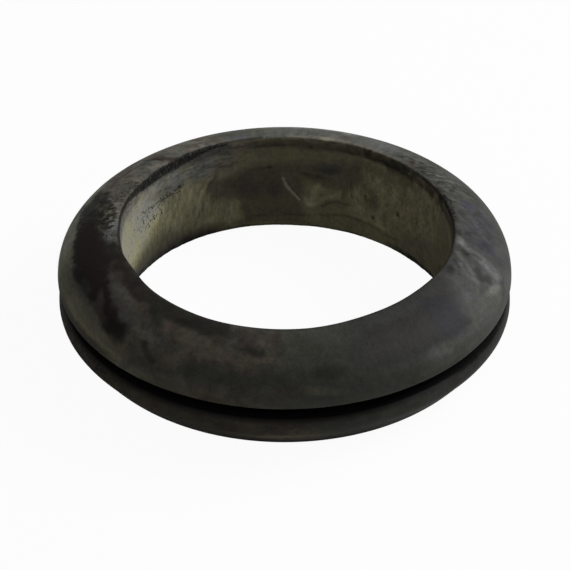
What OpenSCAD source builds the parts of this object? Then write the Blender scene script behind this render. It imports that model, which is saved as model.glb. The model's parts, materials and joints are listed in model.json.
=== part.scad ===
// Rubber grommet: one moulded ring that lines a round hole in a sheet panel.
// A domed flange sits above the panel, a tapered foot flange is pushed through
// the hole, and the panel's edge sits in the groove between them.
// Millimetres, +Z up. The origin is the centre of the foot's face, on the bore's axis.

/* [Bore] */
// Diameter of the straight bore
bore_d = 50.8; // [40:0.1:52]
// How far the lead-in at each end widens the bore, on the radius
lead_w = 0.4; // [0.1:0.05:1.5]
// Height of the lead-in at each end
lead_h = 1.85; // [0.5:0.05:5]

/* [Panel groove] */
// Diameter of the groove's floor, which sits in the panel's hole
groove_d = 60.3; // [56:0.1:66]
// Width of the groove, for the panel's thickness
groove_w = 1.7; // [0.8:0.1:5]
// Radius of the fillet in each corner of the groove's floor
groove_fillet_r = 0.3; // [0.1:0.05:0.35]

/* [Domed flange] */
// Diameter of the domed flange
dome_d = 69.8; // [67:0.1:80]
// Height of the domed flange above the groove
dome_h = 8.1; // [5:0.1:14]
// Radius of the dome's shoulder, where it turns down to its edge
shoulder_r = 6.15; // [2:0.05:6.5]
// Radius of the dome's lower lip
lip_r = 0.8; // [0.3:0.05:1.5]

/* [Foot flange] */
// Diameter of the foot flange
foot_d = 69.8; // [67:0.1:76]
// Height of the foot flange below the groove
foot_h = 7.2; // [5.5:0.1:12]
// Outer diameter of the flat face that the foot rests on
foot_face_d = 59.8; // [54:0.1:62]
// Radius of the foot's upper edge
foot_edge_r = 1.9; // [0.5:0.05:2.4]
// Radius of the foot's lower edge
foot_round_r = 2.85; // [1:0.05:3.2]

/* [Hidden] */

rubber = [0.075, 0.075, 0.07];
// Facets of a full turn, and how far an arc's chords may lie inside the true arc
turn_facets = 240;
arc_tolerance = 0.02;

bore_r = bore_d / 2;
rim_r = bore_r + lead_w;
dome_r = dome_d / 2;
foot_r = foot_d / 2;
groove_r = groove_d / 2;
foot_face_r = foot_face_d / 2;

// Heights of the groove's two sides and of the crown
groove_low_z = foot_h;
groove_high_z = foot_h + groove_w;
top_z = groove_high_z + dome_h;

fillet_x = groove_r + groove_fillet_r;
fillet_low_centre = [fillet_x, groove_low_z + groove_fillet_r];
fillet_high_centre = [fillet_x, groove_high_z - groove_fillet_r];

// The dome's outline: a crown arc, level at the bore's rim, runs tangent into the
// shoulder arc, which is upright at the dome's greatest width
lip_z = groove_high_z + lip_r;
dome_rise = top_z - lip_z;
dome_reach = dome_r - rim_r;
shoulder = min(shoulder_r, 0.95 * dome_rise, 0.95 * dome_reach);
shoulder_centre = [dome_r - shoulder, lip_z];
crown_reach = dome_reach - shoulder;
crown_r = (crown_reach^2 + dome_rise^2 - shoulder^2) / (2 * (dome_rise - shoulder));
crown_centre = [rim_r, top_z - crown_r];
crown_angle = atan2(lip_z - crown_centre.y, crown_reach);
lip_centre = [dome_r - lip_r, lip_z];

// The foot's outline: a round upper edge and a round lower edge, joined by the
// straight taper that is tangent to both
edge_centre = [foot_r - foot_edge_r, groove_low_z - foot_edge_r];
round_centre = [foot_face_r, foot_round_r];
edge_step = round_centre - edge_centre;
taper_angle = atan2(edge_step.y, edge_step.x) + acos((foot_edge_r - foot_round_r) / norm(edge_step));

// Points along an arc of the section, from one angle to another; skip is 1 where the
// arc before it already ends on this one's first point
function arc(centre, radius, from, to, skip = 0) =
    let (chord_angle = 2 * acos(1 - arc_tolerance / radius))
    let (steps = ceil(abs(to - from) / chord_angle))
    [
        for (i = [skip:steps])
            let (angle = from + (to - from) * i / steps)
            centre + radius * [cos(angle), sin(angle)]
    ];

// Bore wall and the lead-in at each end of it, from the dome's rim down to the foot's face
function bore_side() = [
    [bore_r, top_z - lead_h],
    [bore_r, lead_h],
    [rim_r, 0]
];

// Foot flange: flat face, round lower edge, taper and round upper edge
function foot_side() = concat(
    arc(round_centre, foot_round_r, -90, taper_angle),
    arc(edge_centre, foot_edge_r, taper_angle, 90)
);

// Panel groove: its floor, with a fillet in each corner
function groove_side() = concat(
    arc(fillet_low_centre, groove_fillet_r, 270, 180),
    arc(fillet_high_centre, groove_fillet_r, 180, 90)
);

// Domed flange: lip, shoulder and crown, back to the rim
function dome_side() = concat(
    arc(lip_centre, lip_r, -90, 0),
    arc(shoulder_centre, shoulder, 0, crown_angle, 1),
    arc(crown_centre, crown_r, crown_angle, 90, 1)
);

// One half of the ring's section, turned right round the bore's axis
module grommet() {
    color(rubber)
        rotate_extrude($fn = turn_facets)
            polygon(concat(
                foot_side(),
                groove_side(),
                dome_side(),
                bore_side()
            ));
}

grommet();
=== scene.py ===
# Looks of the rubber grommet: one moulded ring of matt black rubber with a dusty bloom,
# rubbed and stained as in the photograph, on a plain white floor.
import json
import math
from collections import namedtuple

import bpy
import numpy as np
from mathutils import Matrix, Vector, noise


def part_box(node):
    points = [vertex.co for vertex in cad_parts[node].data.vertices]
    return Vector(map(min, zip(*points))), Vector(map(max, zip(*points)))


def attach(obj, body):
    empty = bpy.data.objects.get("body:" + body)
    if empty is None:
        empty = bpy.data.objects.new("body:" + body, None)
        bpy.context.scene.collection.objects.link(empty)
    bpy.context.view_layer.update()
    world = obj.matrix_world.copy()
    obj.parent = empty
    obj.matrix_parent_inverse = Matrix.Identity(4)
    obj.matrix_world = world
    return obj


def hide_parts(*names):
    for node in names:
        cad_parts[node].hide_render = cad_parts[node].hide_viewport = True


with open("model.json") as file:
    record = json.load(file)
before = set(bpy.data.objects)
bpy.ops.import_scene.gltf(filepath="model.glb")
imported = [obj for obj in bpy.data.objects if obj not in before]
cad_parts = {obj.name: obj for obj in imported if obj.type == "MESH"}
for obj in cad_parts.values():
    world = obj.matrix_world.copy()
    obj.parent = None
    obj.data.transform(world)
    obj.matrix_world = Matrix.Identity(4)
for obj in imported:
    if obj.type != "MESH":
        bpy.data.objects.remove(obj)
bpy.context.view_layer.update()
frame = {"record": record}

MM = 0.001

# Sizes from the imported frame, in millimetres
_, ring_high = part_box("grommet")
OUTER_R = ring_high.x / MM
TOP_Z = ring_high.z / MM
BORE = next(m for m in frame["record"]["mounts"] if m["name"] == "bore")
BORE_R = BORE["dims"]["r_mm"]
LEAD_H = (TOP_Z - BORE["dims"]["length_mm"]) / 2

# Sizes of the section that the frame doesn't state, as in the part's source
LEAD_WIDTH = 0.4
RIM_R = BORE_R + LEAD_WIDTH
GROOVE_R = 30.15
GROOVE_LOW_Z = 7.2
GROOVE_HIGH_Z = 8.9
GROOVE_FILLET_R = 0.3
SHOULDER_R = 6.15
LIP_R = 0.8
FOOT_FACE_R = 29.9
FOOT_EDGE_R = 1.9
FOOT_ROUND_R = 2.85

# Small rounds that the moulded edges have in the visual model, and where the outline starts
RIM_ROUND = 0.35
LEAD_ROUND = 0.9
START_BEFORE_EDGE = 0.6 * RIM_ROUND

# Mesh: facets of a full turn, and the length of a facet along the section in view and out of view
TURN_STEPS = 640
ROW_LENGTH = 0.32
FOOT_ROW_LENGTH = 0.5
HIDDEN_ROW_LENGTH = 1.2


# The section's outline

def straight(start, end, row_length=ROW_LENGTH):
    """Points from start up to but not including end."""
    steps = max(1, round(math.dist(start, end) / row_length))
    shares = np.arange(steps) / steps
    return [(start[0] + (end[0] - start[0]) * t, start[1] + (end[1] - start[1]) * t) for t in shares]


def arc(centre, radius, start, end, row_length=ROW_LENGTH):
    """Points along an arc between two angles in degrees, without the last."""
    length = radius * math.radians(abs(end - start))
    steps = max(3, round(length / row_length))
    angles = [math.radians(start + (end - start) * i / steps) for i in range(steps)]
    return [(centre[0] + radius * math.cos(a), centre[1] + radius * math.sin(a)) for a in angles]


def corner(before, point, after, reach, steps=4):
    """A small round at a corner, from reach before it to reach after it, and where it ends."""
    start = Vector(point) + (Vector(before) - Vector(point)).normalized() * reach
    end = Vector(point) + (Vector(after) - Vector(point)).normalized() * reach
    shares = [i / steps for i in range(steps)]
    middle = Vector(point)
    return [tuple(start * (1 - t) ** 2 + middle * 2 * t * (1 - t) + end * t * t) for t in shares], tuple(end)


def bore_outline():
    """From the bore's lower edge up its wall and over the rim."""
    foot_inside, rim_low, bore_low = (RIM_R + 1, 0), (RIM_R, 0), (BORE_R, LEAD_H)
    bore_high, rim_high, past_rim = (BORE_R, TOP_Z - LEAD_H), (RIM_R, TOP_Z), (RIM_R + 1, TOP_Z)
    low_edge, lead_start = corner(foot_inside, rim_low, bore_low, RIM_ROUND)
    low_lead, wall_start = corner(rim_low, bore_low, bore_high, LEAD_ROUND)
    high_lead, lead_top = corner(bore_low, bore_high, rim_high, LEAD_ROUND)
    rim, _ = corner(bore_high, rim_high, past_rim, RIM_ROUND)
    return (low_edge + straight(lead_start, low_lead[0]) + low_lead + straight(wall_start, high_lead[0])
            + high_lead + straight(lead_top, rim[0]) + rim)


def dome_outline():
    """From the rim over the crown and the shoulder to under the lip."""
    lip_z = GROOVE_HIGH_Z + LIP_R
    rise, reach = TOP_Z - lip_z, OUTER_R - RIM_R - SHOULDER_R
    crown_r = (reach ** 2 + rise ** 2 - SHOULDER_R ** 2) / (2 * (rise - SHOULDER_R))
    crown_end = math.degrees(math.atan2(lip_z - TOP_Z + crown_r, reach))
    crown_start = 90 - math.degrees(RIM_ROUND / crown_r)
    return (arc((RIM_R, TOP_Z - crown_r), crown_r, crown_start, crown_end)
            + arc((OUTER_R - SHOULDER_R, lip_z), SHOULDER_R, crown_end, 0)
            + arc((OUTER_R - LIP_R, lip_z), LIP_R, 0, -90))


def groove_outline():
    """The panel groove, from under the lip to the foot flange."""
    fillet_x = GROOVE_R + GROOVE_FILLET_R
    low, low_fillet_z = GROOVE_LOW_Z, GROOVE_LOW_Z + GROOVE_FILLET_R
    high, high_fillet_z = GROOVE_HIGH_Z, GROOVE_HIGH_Z - GROOVE_FILLET_R
    return (straight((OUTER_R - LIP_R, high), (fillet_x, high), HIDDEN_ROW_LENGTH)
            + arc((fillet_x, high_fillet_z), GROOVE_FILLET_R, 90, 180)
            + straight((GROOVE_R, high_fillet_z), (GROOVE_R, low_fillet_z), HIDDEN_ROW_LENGTH)
            + arc((fillet_x, low_fillet_z), GROOVE_FILLET_R, 180, 270)
            + straight((fillet_x, low), (OUTER_R - FOOT_EDGE_R, low), HIDDEN_ROW_LENGTH))


def foot_outline():
    """The foot flange, from its upper edge round and down its taper to the face it stands on."""
    edge = Vector((OUTER_R - FOOT_EDGE_R, GROOVE_LOW_Z - FOOT_EDGE_R))
    heel = Vector((FOOT_FACE_R, FOOT_ROUND_R))
    across = heel - edge
    lean = math.acos((FOOT_EDGE_R - FOOT_ROUND_R) / across.length)
    taper = math.degrees(math.atan2(across.y, across.x) + lean)
    out = Vector((math.cos(math.radians(taper)), math.sin(math.radians(taper))))
    return (arc(edge, FOOT_EDGE_R, 90, taper, FOOT_ROW_LENGTH)
            + straight(edge + out * FOOT_EDGE_R, heel + out * FOOT_ROUND_R, FOOT_ROW_LENGTH)
            + arc(heel, FOOT_ROUND_R, taper, -90, FOOT_ROW_LENGTH)
            + straight((FOOT_FACE_R, 0), (RIM_R + RIM_ROUND, 0), HIDDEN_ROW_LENGTH))


# The surface: every point has an angle round the bore and a length along the section.
# Angle 0 is +X, 90 is the back and 270 the front; the length is 0 at the bore's lower
# edge, 17 at the rim, 30 at the dome's widest and 39 to 50 over the foot flange.

def surface():
    """Angles, lengths, points and outward normals of the ring's grid, one row per section point."""
    outline = np.array(bore_outline() + dome_outline() + groove_outline() + foot_outline())
    following, preceding = np.roll(outline, -1, axis=0), np.roll(outline, 1, axis=0)
    steps = np.linalg.norm(following - outline, axis=1)
    lengths = np.concatenate([[0], np.cumsum(steps)[:-1]]) - START_BEFORE_EDGE
    along = following - preceding
    along /= np.linalg.norm(along, axis=1)[:, None]
    turn = np.linspace(0, 2 * math.pi, TURN_STEPS, endpoint=False)
    cos, sin, level = np.cos(turn), np.sin(turn), np.ones(TURN_STEPS)
    points = [np.outer(outline[:, 0], cos), np.outer(outline[:, 0], sin), np.outer(outline[:, 1], level)]
    normals = [np.outer(-along[:, 1], cos), np.outer(-along[:, 1], sin), np.outer(along[:, 0], level)]
    shape = points[0].shape
    angles = np.broadcast_to(np.degrees(turn), shape)
    return angles, np.broadcast_to(lengths[:, None], shape), np.stack(points, -1), np.stack(normals, -1)


angle, length, point, normal = surface()


SHIFT_PER_SEED = (17.3, 7.1, 3.7)
OCTAVE_WEIGHT = 0.9
OCTAVE_STEP = 2.0
OCTAVES = 2


def wander(size, seed):
    """Smooth noise from about -1 to 1 on the surface, with features of that size in millimetres."""
    shift = Vector([seed * part for part in SHIFT_PER_SEED])
    places = (Vector(p) + shift for p in point.reshape(-1, 3) / size)
    values = [noise.fractal(place, OCTAVE_WEIGHT, OCTAVE_STEP, OCTAVES) for place in places]
    return np.array(values).reshape(angle.shape)


COARSE, MIDDLE, FINE = wander(6, 1), wander(2.2, 2), wander(0.9, 3)


# Marks on the surface. Angles and a patch's width are in degrees, lengths, a
# patch's height and a stroke's width in millimetres. A turn is in degrees, from lying round the
# ring to standing along the section. Soft says how wide an edge fades, and ragged how uneven it is.

MM_PER_DEGREE = 0.5
FAR = 99.0
PATCH_EDGE = 0.6 * MIDDLE + 0.5 * FINE + 0.3 * COARSE
STROKE_EDGE = MIDDLE + FINE
BAND_EDGE = 0.6 * MIDDLE + 0.4 * FINE
SECTOR_EDGE = 0.6 * COARSE + 0.4 * MIDDLE
AREA_EDGE = MIDDLE + 0.7 * FINE


def fade(values, low, high):
    """0 at low, 1 at high, smooth between; low may be above high."""
    t = np.clip((values - low) / (high - low), 0, 1)
    return t * t * (3 - 2 * t)


def around(centre):
    """Signed degrees from an angle, the short way."""
    return (angle - centre + 180) % 360 - 180


def patch(at, up, wide, high, soft, turn, ragged):
    """1 within an ellipse at an angle and length, fading to 0, with a ragged edge."""
    u, v = around(at) * MM_PER_DEGREE, length - up
    c, s = math.cos(math.radians(turn)), math.sin(math.radians(turn))
    distance = np.hypot((u * c + v * s) / (wide * MM_PER_DEGREE / 2), (v * c - u * s) / (high / 2))
    return fade(distance + ragged * PATCH_EDGE, 1 + soft / 2, 1 - soft / 2)


def stroke(places, width, soft=0.8, ragged=0.25):
    """1 along a line through (angle, length) places, fading to 0 at half its width."""
    nearest = np.full(angle.shape, FAR)
    for (a0, l0), (a1, l1) in zip(places, places[1:]):
        u, v = around(a0) * MM_PER_DEGREE, length - l0
        du, dv = (a1 - a0) * MM_PER_DEGREE, l1 - l0
        share = np.clip((u * du + v * dv) / (du * du + dv * dv), 0, 1)
        nearest = np.minimum(nearest, np.hypot(u - share * du, v - share * dv))
    return fade(nearest / (width / 2) + ragged * STROKE_EDGE, 1 + soft / 2, 1 - soft / 2)


def band(start, end, soft=0.6, ragged=0.3):
    """1 between two lengths, all the way round."""
    place = length + ragged * BAND_EDGE
    return fade(place, start - soft / 2, start + soft / 2) * fade(place, end + soft / 2, end - soft / 2)


def sector(start, end, soft, ragged=3):
    """1 between two angles."""
    middle, half = (start + end) / 2, (end - start) / 2
    off = np.abs(around(middle)) + ragged * SECTOR_EDGE
    return fade(off, half + soft / 2, half - soft / 2)


def belt(first, last, fade_out, start, end, soft=0.6, ragged=0.3):
    """1 between two angles and two lengths."""
    return sector(first, last, fade_out) * band(start, end, soft, ragged)


def area(places, soft, ragged=0.25):
    """1 inside a shape drawn through (angle, length) places, fading to 0 across its ragged edge."""
    inside = np.zeros(angle.shape, bool)
    nearest = np.full(angle.shape, FAR)
    middle = sum(a for a, _ in places) / len(places)
    x, y = around(middle) * MM_PER_DEGREE, length
    corners = [((a - middle) * MM_PER_DEGREE, up) for a, up in places]
    for (x0, y0), (x1, y1) in zip(corners, corners[1:] + corners[:1]):
        if y0 != y1:
            inside ^= ((y0 > y) != (y1 > y)) & (x < (x1 - x0) * (y - y0) / (y1 - y0) + x0)
        dx, dy = x1 - x0, y1 - y0
        share = np.clip(((x - x0) * dx + (y - y0) * dy) / (dx * dx + dy * dy), 0, 1)
        nearest = np.minimum(nearest, np.hypot(x - x0 - share * dx, y - y0 - share * dy))
    return fade(np.where(inside, nearest, -nearest) + ragged * AREA_EDGE, -soft / 2, soft / 2)


# The coat: what lies on the rubber, and painted shade, as one number per field for every point.
# Bloom is how thick the dust lies. Warm is its tint, from -1 for bluish over 0 for grey to 1 for
# khaki, and green and rose tint it further. Wet is wetted rubber and crust the crust. One more field
# holds painted shade: near-black, matt colour in the groove, under the lip, on the foot's top edge
# and along the bore's lower edge. The others say how strongly each pattern breaks the bloom up;
# the creases pattern paints shade along folds.

FIELDS = "bloom warm green rose wet deep crust blotch ribs slant brushed flecks creases"
coat = {name: np.zeros(angle.shape) for name in FIELDS.split()}


def lay(mask, share=1.0, **values):
    """Moves each named field towards its value where the mask is 1."""
    for name, value in values.items():
        coat[name] += (value - coat[name]) * mask * share


def shade(mask, factor, **values):
    """Multiplies the bloom by a factor where the mask is 1, and moves the other fields named."""
    coat["bloom"] *= 1 + (factor - 1) * mask
    lay(mask, **values)


def tone(at, up, wide, high, factor, soft=1, turn=0, ragged=0.3, **values):
    """Shades a patch."""
    shade(patch(at, up, wide, high, soft, turn, ragged), factor, **values)


def tones(marks, soft=1.2, **more):
    """Shades patches: the angle, length, width, height and factor of each."""
    for mark in marks:
        tone(*mark, soft, **more)


def trace(places, width, factor, soft=1, ragged=0.25, **values):
    """Shades a stroke."""
    shade(stroke(places, width, soft, ragged), factor, **values)


def smear(at, up, wide, high, share, soft=1, turn=0, ragged=0.3, **values):
    """Lays the fields named over a patch."""
    lay(patch(at, up, wide, high, soft, turn, ragged), share, **values)


def coat_ground():
    """The even bloom of each part of the surface, before its marks, and the painted shade of the groove."""
    lay(band(0.1, 15.5), bloom=0.62, warm=0.9)
    lay(band(15.3, 17.1, 0.3, 0.1), bloom=0.27, warm=0.85, rose=0.2, brushed=0.7)
    lay(band(17.05, 30.6, 0.2, 0.1), bloom=0.22, warm=0.15)
    # Painted shade: the lip's underside, the groove and the foot's top edge turn near-black and matt
    lay(fade(length, 29.7, 30.9) * fade(length, 41.0, 40.4), deep=1)
    lay(band(41.3, 55, 1.2, 0.1), bloom=0.11, warm=0.5, blotch=0.6)


def coat_bore_left():
    """The bore's left end: pale khaki, with painted shade along its lower edge."""
    seen = sector(60, 188, 44, 8)
    lay(sector(200, 350, 30, 8) * band(0.6, 15.4), bloom=0.56, warm=0.9, rose=0.2, blotch=0.6, ribs=0.2)
    lay(belt(112, 190, 14, 0.6, 15.4), bloom=0.7, warm=0.85, ribs=0.5)
    pale = area([(134, 15.4), (138, 12), (143, 8.5), (149, 6), (156, 4), (215, 2), (215, 15.4)], 3.5)
    lay(pale * seen, bloom=1.2, warm=0.55, ribs=0.12, flecks=0.13)
    shade(area([(146, 12), (150, 8), (157, 6), (215, 5), (215, 14)], 4) * seen, 1.35)
    tone(154, 11, 18, 6, 1.15, 1.4, warm=0.4, flecks=0.16)
    # Painted shade: the lower part of the bore's left end made darker
    shade(area([(118, 2), (130, 4), (140, 4.8), (152, 4.2), (176, 0), (118, 0)], 3.2), 0.42, warm=0.8)
    shade(area([(120, 2), (134, 4), (146, 6), (160, 5), (176, 2), (176, 0), (120, 0)], 3), 0.9, flecks=0.08)


def coat_brushed_patch():
    """A brushed grey patch under the rim, with a line of specks along its lower side."""
    lay(area([(104, 15.3), (105, 13.5), (110, 12.6), (117, 12.1), (128, 12.4), (140, 12),
              (143, 15.4)], 2.6, 0.5),
        0.85, bloom=0.48, warm=0.1, brushed=1, ribs=0)
    shade(area([(127, 15), (129, 13.2), (140, 12.6), (142, 15.2)], 1.5), 1.3)
    tone(112, 12.4, 10, 3, 0.85, 1.4, warm=0.5, rose=0.3)
    trace([(143, 11.4), (138, 11.2), (134, 11.7), (130, 12.1)], 0.55, 0.35, 0.9, 0.6, flecks=1)
    tone(138, 11.4, 13, 1.8, 0.85, 0.9, ragged=0.5, flecks=0.8)
    tone(149, 11.4, 10, 0.8, 0.75, 0.9, ragged=0.5, warm=0.6, flecks=1)
    tone(147, 10.2, 20, 4, 0.97, 0.9, ragged=0.5, flecks=0.4)


def coat_upright_strokes():
    """Upright strokes in the khaki, and the soft lights and darks round them."""
    trace([(131, 10.4), (133, 8.4), (135, 6.4), (137, 4.4)], 0.35, 0.6, 0.8)
    trace([(132.5, 9.6), (134, 7.6), (136, 5.2)], 0.35, 1.25, 0.8)
    trace([(116, 11.3), (118, 10.4), (119.5, 9.4)], 0.5, 0.45, 0.9, rose=0.4)
    trace([(120, 11), (122, 10), (123.5, 9)], 0.4, 0.6, 0.9, rose=0.3)
    trace([(118, 11.8), (121, 11.2), (124, 11.4)], 0.4, 0.7, 0.9)
    shade(area([(105, 0.9), (105.5, 3), (107.5, 5.8), (110, 5.6), (113, 3.4), (114, 1)], 0.8),
          1.2, warm=0.9, ribs=0.6)
    trace([(109, 6.6), (107, 5.6), (105.4, 4), (105, 1.6)], 0.5, 1.5, 0.8, warm=0.8)
    tone(121, 6.4, 9, 6, 0.92, 0.9, turn=60, ribs=0.7)
    for places, factor in (([(119, 9.4), (121, 7), (123.5, 4.4)], 0.7),
                           ([(121, 9.6), (123, 7.2), (125, 5)], 1.2),
                           ([(124, 10), (126.5, 7.4), (128, 5.6)], 0.78),
                           ([(126, 10.4), (128.5, 8), (130.5, 5.6)], 1.2),
                           ([(135, 10.4), (137, 8.6), (139, 6.4)], 0.8)):
        trace(places, 0.5, factor, 1, 0.3)
    tones([(111, 7, 8, 2.2, 0.78), (124, 4.8, 16, 2.6, 0.82), (140, 12.7, 9, 1.5, 0.74),
           (137, 1.2, 28, 2, 0.75), (143.5, 12.6, 9, 1.6, 0.86), (117, 6.6, 4, 2, 0.86),
           (110, 2.4, 4, 1.8, 1.2)])
    tones([(145, 9, 15, 2.6, 1.25), (146, 13.2, 14, 2.2, 0.84)], 1.4)
    tone(155, 9.6, 16, 7, 1.12, 1.6)


def coat_bore_middle():
    """The bore's middle: a brown smudge under a pale band, and a curved scratch with a pale curl."""
    lay(area([(107, 15.2), (107, 12), (100, 11.6), (94, 12.1), (87, 12.7), (80, 13.2), (62, 13.8),
              (62, 15.2)], 0.9),
        bloom=0.54, warm=0.9)
    lay(area([(107, 11.8), (94, 11.9), (86, 12.5), (78, 13), (66, 13.4), (62, 14.4), (58, 12), (62, 9),
              (70, 8), (83, 9), (84, 5), (83, 1.8), (105, 1.8), (107, 5)], 1.8),
        bloom=0.36, warm=0.85, rose=0.25)
    lay(area([(118, 10.6), (104, 11.5), (97, 11.7), (92, 11.4), (91, 9.4), (91, 6), (94, 5.5), (104, 5.8),
              (112, 6.7), (118, 7.2), (120, 9)], 2),
        bloom=0.29, warm=0.75, rose=0.5)
    tone(102, 7.6, 9, 2.6, 0.92, warm=0.5, rose=0.3)
    tone(93.5, 7.4, 5, 3.4, 0.8, warm=0.5)
    tone(107, 9, 12, 2.6, 0.82, turn=20)
    tone(95.7, 11.7, 2, 0.6, 0.35, 0.6, ragged=0.1)
    trace([(104, 11.4), (99, 11.5), (94, 12), (88, 12.6), (82, 13.1), (75, 13)], 0.5, 0.8)
    tone(74, 11.8, 12, 1.9, 0.75, turn=-8, warm=0.5, rose=0.4)
    tone(73.5, 11.5, 7, 0.9, 0.72, turn=-8, warm=0.3, rose=0.6)
    tone(80.5, 10.4, 7, 0.7, 0.66, 0.7, warm=0.4, rose=0.4)
    tone(77.5, 10, 5, 0.7, 0.68, 0.7, turn=-10, warm=0.4, rose=0.4)
    trace([(76, 11), (79, 10.8), (82, 10.9)], 0.3, 1.3, 0.8)
    trace([(90.5, 9.4), (89.3, 7.9), (87, 6.6), (84.6, 5.4)], 0.46, 2.7, 0.8, 0.1, warm=0.5)
    trace([(84, 5.6), (86.5, 7), (88.5, 8.6)], 0.35, 0.7, 0.8)
    trace([(77.5, 8.2), (79, 7), (79.5, 5.8), (80.5, 4.6)], 1.3, 1.5, warm=0.8, rose=0.3)
    trace([(82.5, 5.8), (81.5, 4.6), (79, 4.5), (77, 5.4), (74.5, 6.2), (71, 6.8)], 0.6, 1.4, warm=0.9)
    trace([(76, 4.4), (73, 5.5), (70, 5.8), (67, 5.6), (63.5, 5.9)], 0.5, 0.5, 0.9, rose=0.3)
    tone(71, 5.1, 6, 0.9, 0.85, 0.8, warm=0.7)
    trace([(90, 2.3), (85, 2.4), (79, 2.1)], 0.4, 0.65)
    trace([(105, 2.1), (97, 2.3)], 0.45, 0.6)
    smear(100, 1.6, 14, 1, 0.7, 0.9, bloom=0.48, warm=1, rose=0.5)
    smear(88, 1.2, 14, 1, 0.7, 0.9, bloom=0.42, warm=0.9, rose=0.6)


def coat_bore_right():
    """The bore's right: khaki with fine upright ribs, curls, two pits and a long arched line."""
    lay(area([(62, 15), (60, 11), (66, 7), (60, 3.6), (50, 3), (36, 5.6), (20, 8), (18, 15.2)], 2.5),
        bloom=0.8, warm=0.9, rose=0.1, blotch=0.4, ribs=0.15)
    shade(area([(64, 15.4), (62, 13), (48, 13), (34, 13.8), (32, 15.4)], 2), 0.7)
    lay(area([(76, 2.8), (66, 3.3), (56, 2.9), (44, 2.6), (40, 0.6), (76, 0.6)], 0.5),
        bloom=0.64, warm=0.9, rose=0.15)
    lay(area([(50, 3), (37, 5.4), (20, 8), (16, 6), (22, 1), (42, 1.4)], 1.6),
        bloom=0.66, warm=0.85, rose=0.25)
    trace([(77, 2.7), (70, 3.3), (64, 3.4), (58, 3.1), (50, 2.4), (43, 2.6)], 0.5, 0.62)
    trace([(66, 3.8), (60, 4), (55, 3.9), (50, 3.4)], 0.5, 1.2)
    tone(62, 5.2, 9, 1.6, 1.2, warm=1)
    tone(47, 11.2, 6, 2.2, 1.15, turn=60, warm=1)
    trace([(55, 12.9), (53, 11.8), (51.5, 10.4)], 0.5, 1.25)
    trace([(51, 14.6), (50.5, 13)], 0.4, 1.25)
    tone(65, 8.4, 13, 4, 1.05, 0.6, ribs=0.8)
    smear(43, 10.6, 26, 4.4, 1, 0.9, flecks=0.13)
    tone(57, 8.7, 9, 3, 0.66, turn=40, flecks=0.15)
    tone(61, 7.1, 5, 2, 0.78, 1.2)
    tone(1, 14.6, 14, 2.4, 1.25, 1.4)
    tone(30, 8.6, 16, 4, 1.05, blotch=0.7)
    tone(33, 4.4, 14, 1.6, 0.88, turn=-20, warm=0.75, rose=0.5)
    tone(44.4, 7.5, 1.7, 1, 0.24, 0.6, turn=20, ragged=0.1, warm=0.9)
    tone(55.7, 4.7, 1.7, 0.7, 0.24, 0.6, ragged=0.1, warm=0.9)
    tone(30, 1.8, 8, 1.8, 0.85, turn=60, rose=0.5)


def coat_bore_edge():
    """Painted shade: a ragged dark line along the bore's lower edge, near-black at the left."""
    shade(belt(108, 168, 16, -1, 2, 2.4, 0.6), 0.45)
    shade(belt(122, 168, 16, -1, 1.3, 1, 0.8), 0.1)
    lay(belt(116, 170, 12, -1, 0.8, 0.6, 0.6), 0.85, deep=1, bloom=0)
    shade(belt(10, 46, 16, -1, 1.2, 0.6, 1), 0.12, flecks=0.3)
    shade(belt(54, 113, 8, -1, 0.45, 0.5, 0.4), 0.4)


def coat_dome_back():
    """The dome's back: pale grey-green, streaked along the section, with painted sheen near its far edge and
    a painted highlight along the rim.
    """
    lay(belt(-6, 130, 10, 17.2, 31), bloom=0.37, warm=0.05, green=0.3, slant=0.4)
    lay(belt(50, 122, 12, 17.2, 31, 1), bloom=0.51, warm=0, green=0.1, ribs=0.3, slant=0.1,
        blotch=0.3)
    lay(belt(112, 172, 10, 17.2, 31), bloom=0.5, warm=0.1, rose=0.45, green=0.2, ribs=0.35,
        slant=0, blotch=0.6)
    tone(104, 20, 22, 1.6, 0.82, warm=0.3)
    tone(105, 18.7, 20, 2.2, 0.78, 1.2)
    shade(belt(-4, 24, 14, 21.6, 27, 1.6), 0.78)
    # Painted sheen: lighter near the dome's far edge at the back, where it is seen at a grazing angle
    shade(belt(66, 100, 12, 20.8, 23, 0.8), 1.5)
    # Painted highlight: a pale line along the rim at the back
    lay(belt(50, 86, 16, 17.05, 17.9, 0.3, 0.2), bloom=0.66, warm=0.3, rose=0.3)
    smear(75, 17.4, 5, 0.9, 1, 0.8, bloom=0.95, warm=0.4)
    shade(belt(4, 26, 8, 16.9, 17.9, 0.3, 0.4), 0.5, rose=0.4, flecks=0.8)
    shade(belt(-20, 60, 16, 21.5, 31, 2.5), 0.72)


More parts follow.
